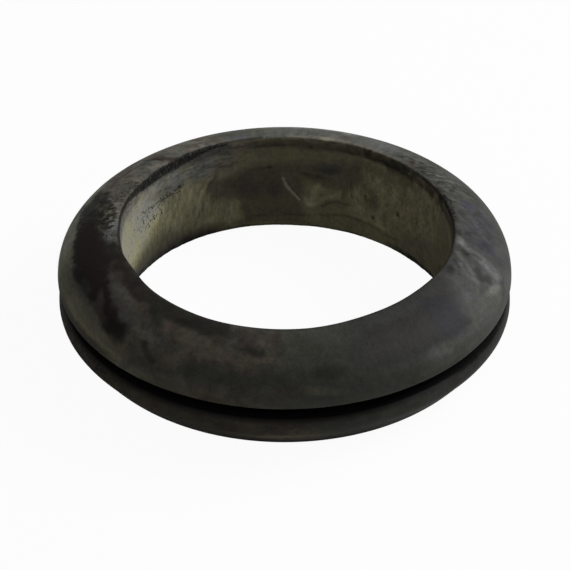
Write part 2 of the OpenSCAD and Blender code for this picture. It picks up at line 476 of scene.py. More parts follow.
def coat_crease_shading():
    """Painted shade and painted light of creases at the dome's back right, dark and pale by turns, and
    smears to the left of them.
    """
    # Painted shade and light: the creases pattern and the strokes below draw creases as dark and pale lines
    shade(belt(14, 50, 12, 17.6, 24, 1.4), 1.05, slant=0.7, creases=0.8)
    for places in ([(36.5, 18.2), (34, 19.4)], [(34.2, 19.9), (31, 21.3)],
                   [(28, 18.4), (27, 20.1), (25, 21)], [(30.4, 19), (29.6, 20.9)],
                   [(29, 22.3), (27, 24)], [(25, 22.6), (22, 25)], [(39, 18), (37, 18.9)],
                   [(33, 18), (32.4, 19)]):
        trace(places, 0.45, 0.5, 1, 0.3)
    for places in ([(36, 19.8), (34, 21.2)], [(32, 18.5), (30.4, 20.6)],
                   [(29, 18.4), (28, 20.3), (26.6, 21.8)], [(38, 19.2), (36, 20.4)],
                   [(26, 18.2), (25, 19.8)]):
        trace(places, 0.5, 1.35, 1, 0.3)
    for at, up in ((37.3, 20.6), (42.4, 18.5), (40.6, 19.9), (22, 19.3), (44.5, 19.4), (35, 17.9)):
        tone(at, up, 2.2, 0.8, 0.3, 0.8, rose=0.3)
    tone(42, 18.4, 5, 1, 0.8, 0.8, turn=50, rose=1)
    tone(69.5, 19, 3, 2, 0.8, 0.9, turn=90, rose=0.8)
    tone(106, 17.9, 6, 1.6, 1.05, 0.9, warm=-0.5)
    lay(stroke([(118.5, 17.3), (120, 19), (121.5, 21)], 1.3, 1), 0.7, bloom=0.62, warm=-0.1)
    lay(stroke([(133, 17.2), (134, 18.4), (136, 20)], 1.2, 1), 0.9, bloom=0.13, rose=0.9)
    lay(stroke([(135.4, 18.4), (136.2, 19.8), (138, 21)], 0.5), 0.9, bloom=0.04, warm=0)
    lay(stroke([(136, 17.1), (138.5, 17.6), (141, 18.4)], 0.9), 0.7, bloom=0.72, warm=0)
    smear(148, 17.8, 10, 1, 0.6, 0.9, bloom=0.6, warm=0.1)
    trace([(140, 20.6), (146, 21), (152, 21.6)], 0.6, 0.5, 0.8, rose=0.9)


def coat_dome_right():
    """The dome's right: smooth dark grey, with a bluish patch and a paler shoulder."""
    lay(belt(264, 292, 14, 17.2, 31, 1.5), bloom=0.14, warm=0.1, green=0.7, rose=0, blotch=0.25)
    lay(belt(264, 292, 14, 17.2, 22, 2.5), bloom=0.16)
    lay(belt(264, 292, 14, 17.2, 19, 1.5), bloom=0.2, green=0.4)
    lay(belt(290, 327, 14, 17.2, 26.6, 2.8), bloom=0.09, warm=-0.15, green=0, rose=0, blotch=0.2)
    lay(belt(290, 330, 12, 17.2, 19.8, 1.5), bloom=0.15)
    lay(belt(284, 330, 16, 26.4, 30.2, 2.4), bloom=0.135, warm=0, green=0.6, rose=0, blotch=0.2)
    lay(belt(308, 334, 14, 26, 30.2, 2.4), bloom=0.22, warm=0, green=0.3)
    smear(289, 22.4, 5, 3, 0.7, 1.2, bloom=0.08, warm=-0.5)
    lay(area([(316, 19.2), (322, 20.4), (323.5, 24.6), (320, 26), (317, 25.6), (315, 22)], 3),
        0.9, bloom=0.085, warm=-1.5)
    lay(stroke([(309, 26.9), (315, 27.1), (321, 27.2)], 1.5, 1.4), 0.85, bloom=0.25, warm=-0.3)
    smear(320, 28.3, 9, 1.4, 0.4, 1.4, bloom=0.17, warm=-0.3)


def coat_rubbed_band_and_painted_highlight():
    """The bright band at the right, with slanting streaks and dark gaps between them: rubbed dust, and
    partly a painted highlight.
    """
    lay(area([(326, 22.5), (326, 27.6), (342, 28.6), (356, 29.6), (352, 26), (347, 22), (343, 18),
              (338, 17.4), (332, 19.4)], 3.4, 0.5),
        bloom=0.3, warm=-0.2, green=0, rose=0, slant=0.2, blotch=0.3)
    lay(area([(326, 23), (334, 24.6), (340, 26.4), (344, 28), (334, 28.6), (326, 27)], 2.4),
        0.8, bloom=0.31, warm=0, green=0.3, slant=0)
    # The palest streaks are partly a painted highlight of the key light on the dome's right
    lay(stroke([(353.5, 18), (350, 19.6), (347.5, 21.4), (346, 23.4), (345, 25.2)], 1.7, 1.4),
        0.9, bloom=0.62, warm=-0.1)
    lay(stroke([(346, 18), (341, 20.3), (338, 22), (337, 22.8)], 0.7, 1), 0.9, bloom=0.5, warm=-0.2)
    shade(area([(325, 26.6), (329, 20.8), (334, 18.6), (338, 20.8), (334, 24), (331, 27)], 1.2), 1.12)
    tone(336, 18.4, 6, 1.2, 0.42, 0.9, turn=-20, ragged=0.4, warm=0.2)
    trace([(339, 19.2), (341.5, 18)], 0.7, 0.55)
    trace([(341.5, 22), (339.5, 23), (341.5, 23.8), (340, 25)], 1.1, 0.32, 1, 0.6, warm=-0.2)
    trace([(346.5, 19.4), (347.5, 20.6), (346.5, 21.6)], 0.7, 0.5, 1, 0.5)
    shade(belt(352, 366, 8, 24.6, 28.4, 1), 0.86, warm=-0.3)
    tone(337, 24.3, 5, 0.8, 0.7, 0.9, turn=10, ragged=0.4)
    trace([(352, 18), (347, 19.8), (345.5, 22.6), (344, 25)], 0.6, 1.3)
    trace([(341, 19), (337.5, 20.6), (336.5, 22)], 0.7, 1.5)
    smear(339.5, 25.6, 7, 1.5, 0.9, 1.2, turn=20, bloom=0.62, warm=0.4)
    smear(339, 27, 10, 1.2, 0.6, 1.2, bloom=0.36, warm=0.3)
    trace([(342, 28.2), (345, 26.6)], 0.8, 0.7)


def coat_far_right():
    """The cool grey end of the bright band, soft lights and darks over the dome's right, and painted shade
    under the lip.
    """
    lay(area([(350, 18.4), (349, 22), (352, 26), (358, 26.6), (372, 24), (378, 20), (368, 18)], 1.6),
        bloom=0.245, warm=-0.3, green=0, rose=0, slant=0.3, blotch=0.5)
    smear(354, 22.3, 5, 3, 0.9, 1.1, turn=20, bloom=0.13, warm=-1.5)
    smear(374, 20.8, 5, 2.2, 0.8, 1.1, turn=30, bloom=0.2, warm=-1.1)
    trace([(372, 19), (367, 20.1), (362, 21), (359, 21.8)], 0.8, 1.4, 1.2)
    tone(351, 19, 6, 1.4, 1.5, turn=-30)
    tone(347, 19.2, 5, 0.9, 0.6, 0.9, turn=-30, warm=-0.5)
    tone(357.5, 17.8, 4, 0.8, 0.5, 0.9, warm=-0.8)
    smear(360, 25.4, 10, 1.4, 0.6, 1.2, bloom=0.2, warm=0.5)
    tone(317, 22.6, 16, 4.4, 0.82, 1.6, warm=-0.3)
    tone(319, 23, 8, 5, 0.97, 1.4, warm=-1.4)
    tones([(350, 24.2, 9, 5, 0.82), (362, 23.8, 14, 3.4, 0.84), (327, 27.2, 9, 2, 1.2),
           (308, 25.8, 8, 1.6, 1.15)], 1.4)
    tones([(315, 26.6, 24, 2, 1.2), (339, 18.4, 10, 2, 1.15), (305, 27.5, 5, 1.4, 1.2),
           (339, 24.7, 9, 1.3, 1.15), (346.5, 26.3, 6, 1.4, 0.87), (362, 22.2, 13, 1.8, 0.86)])
    tone(350, 17.9, 8, 1.2, 1.2)
    # Painted shade: darker under the lip at the lower right
    shade(belt(300, 326, 10, 29.3, 31.2, 0.8), 0.74)


def coat_dome_front():
    """The dome's front left: green-grey near the rim, then a rosy band."""
    lay(belt(224, 268, 14, 17.6, 31), bloom=0.17, warm=0.25, rose=0.5, green=0.3, blotch=0.6)
    lay(area([(222, 17), (226, 19), (230, 20.6), (238, 20.2), (248, 20.4), (254, 19), (252, 17)], 1.4),
        0.9, bloom=0.045, green=1, rose=0.2)
    lay(area([(228, 21), (236, 22.6), (246, 23.9), (258, 24), (268, 23), (268, 21.8), (256, 21.6),
              (244, 20.6), (236, 20.2)], 1.4),
        bloom=0.23, warm=0.5, rose=0.9, green=0, blotch=0.5)
    smear(230, 23.6, 11, 3.4, 0.8, turn=30, bloom=0.28, warm=0.1, green=0.5, rose=0.3)
    smear(231, 26.8, 12, 2, 0.8, turn=20, bloom=0.2, warm=0.3, green=0.4, rose=0.3)
    shade(area([(206, 22.4), (222, 22.6), (238, 23.6), (250, 24), (250, 26.6), (232, 26.6), (214, 26)], 2.2),
          1.42)
    lay(belt(226, 262, 16, 22.5, 31, 2), blotch=0.5)


def coat_front_blots():
    """Blots, strokes and smears over the dome's front left, and the green-grey shoulder there."""
    lay(stroke([(231.5, 24.8), (233, 25.6), (235.5, 26.6)], 1.1, 1), 0.85, bloom=0.03, rose=0.7)
    smear(227.5, 19.9, 4, 1.2, 0.8, 0.9, turn=20, bloom=0.03, warm=0)
    smear(231, 20.8, 6, 1.6, 0.7, 0.9, turn=30, bloom=0.1, green=0.8, rose=0)
    smear(240, 19.2, 12, 1.8, 0.8, 0.9, turn=-8, ragged=0.5, bloom=0.02, green=0.6, rose=0.3)
    smear(250, 19.4, 9, 1.6, 0.7, bloom=0.06, green=0.8, rose=0)
    smear(261.5, 21.8, 7, 1.4, 0.8, 1.2, turn=14, ragged=0.6, bloom=0.02, green=1, rose=0)
    smear(257, 21.4, 5, 1, 0.6, 0.9, ragged=0.4, bloom=0.06, green=1, rose=0)
    lay(stroke([(257.5, 21), (258, 19), (258.5, 17.6)], 0.8, 1), 0.6, bloom=0.17, rose=1)
    smear(259.5, 20.5, 6, 1.5, 0.8, turn=10, bloom=0.09, rose=1, green=0)
    lay(belt(206, 262, 20, 28.3, 30.6, 1), 0.6, warm=0.9, rose=0.2)
    lay(stroke([(266, 21.6), (266, 19.6), (266.5, 18)], 0.9, 1), 0.6, bloom=0.2, rose=1)
    smear(265.5, 23.4, 12, 1.2, 0.7, bloom=0.22, warm=0.5, rose=0.4)
    smear(262, 19.6, 6, 2, 0.5, bloom=0.2, warm=-0.1)
    lay(area([(240, 27.4), (246, 24.8), (262, 25), (284, 24), (287, 25.6), (278, 26.9), (262, 27.2)], 1.2),
        0.8, bloom=0.12, warm=0, green=0.9, rose=0, blotch=0.4)
    smear(280.5, 25, 9, 2, 0.9, 1.2, bloom=0.045, green=1)
    smear(279.5, 27.7, 7, 0.9, 0.8, turn=16, bloom=0.25, warm=0.6, green=0.4)
    smear(284, 28, 6, 0.7, 0.5, turn=10, bloom=0.2, warm=0.3)
    smear(277.5, 27.5, 7, 1.3, 0.85, 1.2, turn=10, bloom=0.27, warm=0.5, green=0.6, rose=0)
    tone(264, 20.8, 6, 1.8, 1.2, 1.2)
    tone(240, 28, 26, 3, 1.13, 1.4)
    for at, up in ((243, 28.8), (252, 29.4), (259, 29), (270, 28.9), (274, 27.4)):
        smear(at, up, 4, 1.4, 0.5, turn=80, bloom=0.17, rose=1)


def coat_dome_left():
    """The dome's left: a pale outer band of dust and painted sheen, painted shade at its lip, and a dark
    rosy band at the rim.
    """
    # Pale dust along the left outer edge, partly a painted sheen where the dome is seen at a grazing angle
    lay(belt(150, 192, 14, 23.6, 31, 1.2), bloom=0.95, warm=0.45, green=0.4, rose=0.1, ribs=0.1)
    shade(belt(150, 184, 14, 22.2, 26.5, 1.2), 1.3)
    lay(belt(188, 232, 14, 25.2, 31, 1.8), bloom=0.37, warm=0.65, green=0.3, rose=0.1, ribs=0.15)
    lay(belt(156, 186, 12, 17.2, 19.2, 1), bloom=0.44, warm=-0.1)
    trace([(199, 27.6), (204, 28), (209, 28.2), (216, 28.4), (226, 28.6)], 1, 1.35, 1.2, warm=0.9)
    # Painted shade: darker under the lip
    shade(belt(190, 222, 12, 28.7, 31, 1), 0.3)
    tone(205, 27, 9, 2.4, 1.22, 1.4)
    tone(228, 27, 14, 4, 0.6)
    lay(area([(186, 17.3), (206, 17.1), (226, 17.2), (240, 18), (226, 20), (206, 20), (190, 19)], 1.2),
        bloom=0.05, warm=0.3, rose=0.9, blotch=0.8)


def coat_wet_patch():
    """The large patch at the left where the bloom is wetted off, and smears at its lower side."""
    lay(area([(173, 23), (181, 23.9), (190, 24.2), (200, 24.3), (208, 24.3), (214, 24.6), (220, 25.1),
              (222, 24.3), (219, 23.3), (215, 22.7), (211, 21.8), (205, 21), (198, 19), (190, 19),
              (182, 19.9), (176, 20.8)], 2.0, 0.3),
        bloom=0.03, warm=0.3, rose=1, wet=1, blotch=0)
    smear(188, 19.8, 14, 2, 0.7, bloom=0.03, wet=0.4)
    smear(199, 20.6, 6, 1, 0.6, bloom=0.05, wet=0.4)
    smear(197, 24, 9, 1.8, 1, 0.9, turn=-10, bloom=0, wet=0)
    smear(219, 25.2, 6, 3, 1, 0.8, turn=30, ragged=0.5, bloom=0, wet=0, green=1)
    smear(222.5, 25.1, 6, 3.2, 0.95, turn=10, ragged=0.4, bloom=0, wet=0)
    smear(203, 23.7, 7, 1.1, 0.8, bloom=0.1, warm=0, green=0.8, rose=0, wet=0, flecks=0.5)
    smear(209, 22.9, 6, 1, 0.7, turn=30, bloom=0.11, warm=0.2, wet=0)
    smear(214, 24.6, 8, 1.2, 0.7, turn=20, bloom=0.1, rose=0.6, wet=0)
    smear(207.5, 19.7, 6, 1.4, 0.8, turn=20, bloom=0.15, warm=0, green=0.5, rose=0.3)
    smear(215, 20.7, 7, 1.6, 0.9, 0.9, turn=10, bloom=0.25, warm=0.4, rose=0.7)
    smear(221, 21.1, 10, 2, 0.9, 0.9, turn=-30, bloom=0.2, warm=0.4, rose=0.4)
    smear(218, 19.3, 5, 1.3, 0.8, 0.9, turn=20, bloom=0.06, warm=0.6)
    tone(210, 19.6, 9, 2, 1.4, 1.2, turn=20)
    tone(220, 21, 8, 2, 1.35, 1.2)
    smear(224, 18.6, 5, 1, 0.6, 0.9, turn=20, bloom=0.06, warm=-0.7)
    smear(199, 19.2, 3, 1.2, 0.5, 0.9, turn=90, bloom=0.12, rose=0.5)
    lay(stroke([(166, 18.6), (175, 18.1), (182, 17.8), (190, 17.3)], 0.7, 1, 0.5), 0.9, bloom=0.5, warm=-0.1)


def coat_speckled_end():
    """The wetted patch's back end, broken up into specks and strands beside a pale band."""
    lay(area([(160, 20.8), (162, 17.6), (172, 17.1), (186, 17.1), (187, 19), (180, 19.8),
              (170, 21)], 1, 0.5),
        0.9, bloom=0.5, warm=-0.1, slant=0, blotch=0.9, flecks=0.4)
    lay(area([(156, 23.4), (159, 20.8), (166, 19.2), (176, 18.9), (182, 19.6), (178, 21.4), (175, 23.6),
              (166, 24)], 1.2, 0.7),
        0.95, bloom=0.15, warm=0.7, green=0.4, rose=0.2, slant=0, ribs=0, blotch=1.7, flecks=0.7)
    for at, up, wide, high in ((161, 22.6, 5, 1.4), (159.5, 21, 3.5, 1.3), (164.5, 20.5, 5, 1.3),
                               (169, 21.8, 5, 1.9), (166, 23.4, 5, 0.9), (172, 19.9, 4, 1),
                               (175, 21.4, 5, 1.4)):
        smear(at, up, wide, high, 0.9, ragged=0.6, bloom=0.01)
    for at, up in ((168.5, 18.6), (172.5, 18.5), (176, 18.2), (174.5, 19.2), (179.5, 18.5)):
        smear(at, up, 2.8, 0.7, 0.95, 0.8, turn=50, ragged=0.8, bloom=0.01, warm=0.5)
    for places in ([(164, 19.6), (166.5, 18.8), (169, 19.2)], [(170, 18.2), (172, 17.7), (174, 18)],
                   [(176.5, 19.6), (178, 18.9), (180, 19.3)], [(162, 18.8), (163.5, 18.1)]):
        lay(stroke(places, 0.6, 0.9, 0.8), 0.9, bloom=0.03, warm=0.5)
    smear(171, 23.6, 14, 0.9, 0.7, 0.9, turn=-6, ragged=0.5, bloom=0.2, warm=0.9, flecks=1)
    tones([(173, 18.3, 20, 2.2, 1.35), (170, 18, 10, 1.8, 1.35), (175, 18.8, 7, 1.2, 1.25),
           (187, 17.4, 8, 1.4, 0.8), (184, 24.7, 9, 1.3, 0.8), (164, 20.1, 4, 1.2, 1.22)])
    smear(163, 24.2, 9, 1.8, 0.55, 1.2, ragged=0.6, bloom=0.5, warm=0.2, green=0.3)
    smear(163, 21.4, 5, 1.2, 0.5, 1.2, ragged=0.6, bloom=0.4, warm=0.1)
    smear(172, 20.8, 4, 1.4, 0.7, ragged=0.6, bloom=0.02)
    smear(211, 23.3, 5, 1.1, 0.8, turn=20, bloom=0.14, warm=0.3, rose=0.4, wet=0)


def coat_foot():
    """The foot flange: dark, with a pale edge at the front, speckles to the left, and painted shade on its
    top edge under the lip.
    """
    lay(belt(190, 226, 10, 41, 46, 1.2), bloom=0.1, warm=1, rose=0.4, blotch=1, flecks=0.6)
    lay(belt(226, 276, 14, 41.3, 46, 1.2), bloom=0.12, warm=1.4, rose=0.6, blotch=0.7)
    smear(279, 44.8, 44, 2.3, 0.9, bloom=0.38, warm=0.9, rose=0.3)
    lay(belt(280, 318, 12, 41.3, 46, 1.2), bloom=0.115, warm=0, green=0.8, rose=0, blotch=0.3)
    lay(belt(312, 360, 12, 41.3, 46, 1.2), bloom=0.065, warm=-0.1, green=0.1, rose=0, blotch=0.3)
    smear(258, 42.4, 12, 1.4, 0.6, bloom=0.07, rose=1)
    tone(270, 43.2, 14, 2.2, 1.2, 1.2, warm=1.2)
    tone(246, 41.9, 24, 1.6, 0.72)
    # Painted shade: the foot's top edge under the lip, near-black and darker at the right
    lay(sector(314, 366, 24, 0) * band(40, 41.1, 0.5, 0.1), bloom=0, deep=1)
    shade(belt(323, 346, 10, 38.6, 41.6, 0.8), 0.6)


def coat_lead_in():
    """The lead-in below the rim: dark lines, a rosy stretch, worn patches at the back right, and a painted
    highlight just under the rim at the back.
    """
    trace([(100, 15.6), (84, 15.4), (74, 15.4), (60, 15.7), (20, 15.5)], 0.5, 0.6)
    tone(95, 16.4, 18, 0.7, 0.85, 0.6, rose=0.7)
    tone(102, 15.2, 10, 1, 0.8)
    tones([(66, 16.7, 12, 0.6, 1.2), (50, 16.3, 24, 0.9, 0.75)], 0.6, rose=0.3)
    tone(108, 16, 12, 1.3, 1.3, 0.6, rose=0.8, warm=0)
    # Painted highlight: the lead-in's top, just under the rim at the back, made paler
    shade(belt(74, 112, 16, 16.4, 17.2, 0.3), 1.7)
    trace([(40, 16.8), (28, 16.9), (15, 17), (0, 17)], 0.35, 1.4, 0.8, warm=-0.2)
    shade(belt(14, 62, 10, 15.2, 17.1, 0.3, 0.3), 0.95, blotch=1.1, brushed=0, warm=1)
    tones([(58, 16, 5, 1.2, 0.4), (50, 15.7, 6, 0.9, 0.45), (46, 15.9, 4, 1.2, 0.5), (38, 16, 6, 0.9, 1.6),
           (33, 16.3, 5, 0.8, 1.5), (27, 16, 7, 1.3, 0.5), (19, 16.2, 6, 1.2, 0.5)],
          1, turn=20, ragged=0.5, rose=0.3)
    lay(belt(152, 200, 8, 14.5, 16.4, 0.7, 0.2), 0.9, bloom=0.64, warm=0.2, rose=0.1, flecks=0.3)
    shade(belt(204, 344, 12, 16.5, 17.3, 0.25, 0.15), 0.3)
    lay(belt(196, 222, 10, 15.3, 17.1, 0.3, 0.1), bloom=0.06, warm=0, rose=0.3)
    lay(belt(108, 153, 8, 15.2, 16.6, 0.3, 0.1), 0.85, bloom=0.2, warm=0.1, rose=0.1)


def coat_crust():
    """The black crust along the rim's back left, thin at both ends, and the marks beside it."""
    trace([(98, 17.15), (105, 17.1), (113, 17)], 0.4, 0.3, 1, 0.2, rose=0.4)
    for places, width in (([(111, 17), (119, 16.85)], 0.6),
                          ([(117, 16.9), (124, 16.7)], 0.85),
                          ([(122, 16.7), (130, 16.5)], 1.2),
                          ([(126, 16.6), (134, 16.4), (141, 16.3), (146, 16.25)], 1.5),
                          ([(144, 16.2), (150, 16.25), (155, 16.4)], 1.4)):
        lay(stroke(places, width, 0.6, 0.12), crust=1, warm=0)
    lay(stroke([(153, 16.4), (160, 16.55), (172, 16.6), (186, 16.8), (200, 17.1)], 0.9, 0.7, 0.15),
        0.95, bloom=0.03, crust=0.6, rose=0.2)
    lay(stroke([(152, 17.6), (157, 18), (163, 18.1)], 1.6, 1, 0.4), 0.9, bloom=0.36, flecks=0.6, warm=-0.1)
    shade(belt(-8, 34, 8, 16.75, 17.3, 0.25, 0.2), 0.3, rose=0.3)
    trace([(40, 16.5), (25, 16.5), (5, 16.6), (-6, 16.6)], 0.3, 1.4, 0.8, 0.2, warm=0.8)
    tones([(166, 15.9, 7, 1.2, 0.82), (153, 17.9, 6, 1.2, 1.22), (122, 17.9, 6, 1.2, 1.2)], 1)


def lay_coat():
    """Every layer of the coat, in the order in which they cover each other."""
    for part in (coat_ground, coat_bore_left, coat_brushed_patch, coat_upright_strokes, coat_bore_middle,
                 coat_bore_right, coat_bore_edge, coat_dome_back, coat_crease_shading, coat_dome_right,
                 coat_rubbed_band_and_painted_highlight, coat_far_right, coat_dome_front, coat_front_blots, coat_dome_left,
                 coat_wet_patch, coat_speckled_end, coat_foot, coat_lead_in, coat_crust):
        part()


# The ring's mesh

def relief():
    """How far each point stands out of the plain section, in millimetres."""
    waves, lumps, grains = 0.04 * wander(22, 5), 0.010 * COARSE, 0.006 * MIDDLE
    off_floor = fade(length, 0, 2) * fade(length, 50, 46)
    return off_floor * (waves + lumps + grains)


def squeeze():
    """How far each point is pressed towards the middle, in millimetres: the rim is a little out of
    round, and the bore's lower edge is fuller at the back than the plain section."""
    left = 0.58 * fade(np.abs(around(192)), 34, 4)
    front_left = 0.42 * fade(angle, 194, 208) * fade(angle, 252, 222)
    front_right = 0.52 * fade(angle, 274, 302) * fade(angle, 345, 318)
    rim = (left + front_left + front_right) * fade(length, 8, 15.5) * fade(length, 25, 17.5)
    back = 0.34 * fade(angle, 22, 40) * fade(angle, 112, 82)
    back_left = 0.2 * fade(angle, 132, 150) * fade(angle, 190, 170)
    burr = 0.05 * (MIDDLE + FINE) * fade(angle, 0, 30) * fade(angle, 180, 150)
    return rim + (back + back_left + burr) * fade(length, 2, 0.3)


def ring_mesh(name):
    """The ring's closed mesh, with its relief and its squeeze."""
    rows = point.shape[0]
    mesh = bpy.data.meshes.new(name)
    inward = np.stack([-np.cos(np.radians(angle)), -np.sin(np.radians(angle)), np.zeros(angle.shape)], -1)
    moved = (point + normal * relief()[..., None] + inward * squeeze()[..., None]) * MM
    index = np.arange(rows * TURN_STEPS).reshape(rows, TURN_STEPS)
    ahead = np.roll(index, -1, axis=1)
    faces = np.stack([index, np.roll(index, -1, axis=0), np.roll(ahead, -1, axis=0), ahead], -1)
    mesh.from_pydata(moved.reshape(-1, 3).tolist(), [], faces.reshape(-1, 4).tolist())
    mesh.polygons.foreach_set("use_smooth", [True] * len(mesh.polygons))
    mesh.update()
    return mesh


def store(mesh, name, values, kind="FLOAT", part="value"):
    """Keeps a number or a place per point on the mesh, for the material."""
    attribute = mesh.attributes.new(name, kind, "POINT")
    attribute.data.foreach_set(part, values.astype(np.float32).ravel())


WRAP_R = 30
STREAK_TWIST = 2.4


def store_wrap(mesh, name, twist=0.0):
    """Keeps a seamless place on the surface: round a cylinder, and up it along the section.
    A twist in degrees for each millimetre up makes streaks that slant."""
    turn = np.radians(angle + twist * length)
    wrap = np.stack([WRAP_R * np.cos(turn), WRAP_R * np.sin(turn), length], -1)
    store(mesh, name, wrap, "FLOAT_VECTOR", "vector")


# Materials

class Graph:
    """Short names for the shader nodes of a material or the world."""

    def __init__(self, owner):
        owner.use_nodes = True
        self.tree = owner.node_tree
        self.tree.nodes.clear()

    def node(self, kind, inputs=None, **settings):
        """A new node; inputs names its sockets and what each is linked to or set to."""
        made = self.tree.nodes.new(kind)
        for key, value in settings.items():
            setattr(made, key, value)
        for key, value in (inputs or {}).items():
            if isinstance(value, bpy.types.NodeSocket):
                self.tree.links.new(value, made.inputs[key])
            else:
                made.inputs[key].default_value = value
        return made

    def math(self, operation, a, b=0.0, clamp=False):
        return self.node("ShaderNodeMath", {0: a, 1: b}, operation=operation, use_clamp=clamp).outputs[0]

    def attribute(self, name, output="Fac"):
        return self.node("ShaderNodeAttribute", attribute_name=name).outputs[output]

    def stretch(self, vector, factors):
        """A place scaled by three factors: below 1 draws the noise out that way."""
        return self.node("ShaderNodeVectorMath", {0: vector, 1: factors}, operation="MULTIPLY").outputs[0]

    def noise(self, vector, scale, detail=3.0, roughness=0.5, distortion=0.0):
        inputs = {"Vector": vector, "Scale": scale, "Detail": detail, "Roughness": roughness,
                  "Distortion": distortion}
        return self.node("ShaderNodeTexNoise", inputs).outputs["Fac"]

    def spread(self, value, low, high, to_low=0.0, to_high=1.0):
        """One range taken to another, smooth at both ends."""
        inputs = {"Value": value, "From Min": low, "From Max": high, "To Min": to_low, "To Max": to_high}
        return self.node("ShaderNodeMapRange", inputs, interpolation_type="SMOOTHSTEP").outputs["Result"]

    def mix(self, share, a, b):
        return self.node("ShaderNodeMix", {0: share, 6: a, 7: b}, data_type="RGBA").outputs[2]

    def bump(self, height, distance, below=None):
        """A relief of that depth, over the one below it."""
        inputs = {"Strength": BUMP_STRENGTH, "Distance": distance, "Height": height}
        if below is not None:
            inputs["Normal"] = below
        return self.node("ShaderNodeBump", inputs).outputs["Normal"]


# Colours, and how much of its own colour the thickest bloom shows
BLACK_RUBBER = (0.0085, 0.0074, 0.0060, 1)
WET_RUBBER = (0.0122, 0.0082, 0.0064, 1)
CRUST = (0.0050, 0.0054, 0.0040, 1)
# Near-black for painted shade in the groove, under the lip, on the foot's top edge and along the bore's
# lower edge
PAINTED_SHADE_BLACK = (0.0015, 0.0015, 0.0015, 1)
COOL_BLOOM = (0.256, 0.249, 0.332, 1)
GREY_BLOOM = (0.264, 0.268, 0.250, 1)
WARM_BLOOM = (0.316, 0.292, 0.170, 1)
GREEN_BLOOM = (0.240, 0.268, 0.184, 1)
ROSE_BLOOM = (0.312, 0.250, 0.196, 1)
THICK_BLOOM = 0.72


def bloom_cloud(g, wrap, slanted, blots):
    """How thick the bloom lies from place to place, round 1, and the fine noises in it."""
    mottle = g.noise(wrap, 0.3, 4, 0.6, 0.4)
    fine = g.noise(wrap, 1.3, 4, 0.65)
    grain = g.noise(wrap, 6.0, 2, 0.6)
    ribs = g.noise(g.stretch(wrap, (1, 1, 0.2)), 1.9, 4, 0.65, 0.3)
    slant = g.noise(g.stretch(slanted, (1, 1, 0.25)), 1.5, 4, 0.65, 0.9)
    brushed = g.noise(g.stretch(wrap, (0.2, 0.2, 1)), 2.2, 4, 0.65, 0.3)
    # Thin dark lines along slanting folds: painted shade of creases
    folds = g.noise(g.stretch(slanted, (1, 1, 0.4)), 0.9, 2, 0.6, 0.5)
    crease_shade = g.spread(g.math("ABSOLUTE", g.math("SUBTRACT", folds, 0.5)), 0.015, 0.06, -0.6, 0.1)
    patterns = {
        "blotch": g.spread(blots, 0.38, 0.62, -0.45, 0.45),
        "ribs": g.spread(ribs, 0.32, 0.68, -0.4, 0.4),
        "slant": g.spread(slant, 0.40, 0.60, -0.55, 0.4),
        "brushed": g.spread(brushed, 0.32, 0.68, -0.42, 0.42),
        "creases": crease_shade,
    }
    cloud = g.math("ADD", g.spread(mottle, 0.3, 0.7, 0.88, 1.12), g.spread(fine, 0.3, 0.7, -0.16, 0.16))
    cloud = g.math("ADD", cloud, g.spread(grain, 0.3, 0.7, -0.14, 0.14))
    for name, pattern in patterns.items():
        cloud = g.math("ADD", cloud, g.math("MULTIPLY", g.attribute(name), pattern))
    return cloud, fine, grain


def ragged_edge(g, wrap, name, scale):
    """A field's soft edge made crisp and ragged, finer than the mesh can carry it."""
    edge = g.spread(g.noise(wrap, scale, 3, 0.6), 0.25, 0.75, -0.25, 0.25)
    return g.spread(g.math("ADD", g.attribute(name), edge), 0.2, 0.8)


def bloom_tint(g, wrap):
    """The bloom's colour: cool, grey or warm, with green and rose blots."""
    drift = g.spread(g.noise(wrap, 0.22, 3), 0.3, 0.7, -0.2, 0.2)
    warm = g.math("ADD", g.attribute("warm"), drift)
    cool = g.mix(g.spread(warm, -1, 0), COOL_BLOOM, GREY_BLOOM)
    tint = g.mix(g.spread(warm, 0, 1), cool, WARM_BLOOM)
    hue = g.noise(wrap, 0.34, 3, 0.6, 0.3)
    green = g.math("MULTIPLY", g.attribute("green"), g.spread(hue, 0.36, 0.64, 0.4, 1.4), clamp=True)
    rose = g.math("MULTIPLY", g.attribute("rose"), g.spread(hue, 0.36, 0.64, 1.5, 0.2), clamp=True)
    return g.mix(rose, g.mix(green, tint, GREEN_BLOOM), ROSE_BLOOM)


def bare_flecks(g, wrap):
    """Specks where the bloom is off the rubber, more and larger where the flecks are stronger."""
    flecks = g.attribute("flecks")
    specks = g.math("ADD", g.noise(wrap, 2.1, 4, 0.7, 0.3), g.math("MULTIPLY", flecks, 0.09))
    return g.math("MULTIPLY", g.spread(specks, 0.57, 0.64), g.math("MULTIPLY", flecks, 4.0, clamp=True))


def bloom_share(g, wrap, cloud, wet, crust):
    """How much of the bloom's colour covers the rubber, with pale ticks on the crust."""
    bare = g.math("MAXIMUM", bare_flecks(g, wrap), g.math("MULTIPLY", wet, 0.96))
    bare = g.math("MAXIMUM", bare, crust)
    share = g.math("MULTIPLY", g.math("MULTIPLY", g.attribute("bloom"), THICK_BLOOM), cloud)
    share = g.math("MULTIPLY", share, g.math("SUBTRACT", 1.0, bare), clamp=True)
    ticks = g.noise(g.stretch(wrap, (1, 1, 0.4)), 4.2, 3, 0.7, 0.3)
    return g.math("ADD", share, g.math("MULTIPLY", crust, g.spread(ticks, 0.46, 0.70, 0.0, 0.20)))


BARE_ROUGHNESS = 0.58
DUSTY_ROUGHNESS = 0.78
GRAIN_DEPTH = 0.12 * MM
PORE_DEPTH = 0.03 * MM
BUMP_STRENGTH = 0.5


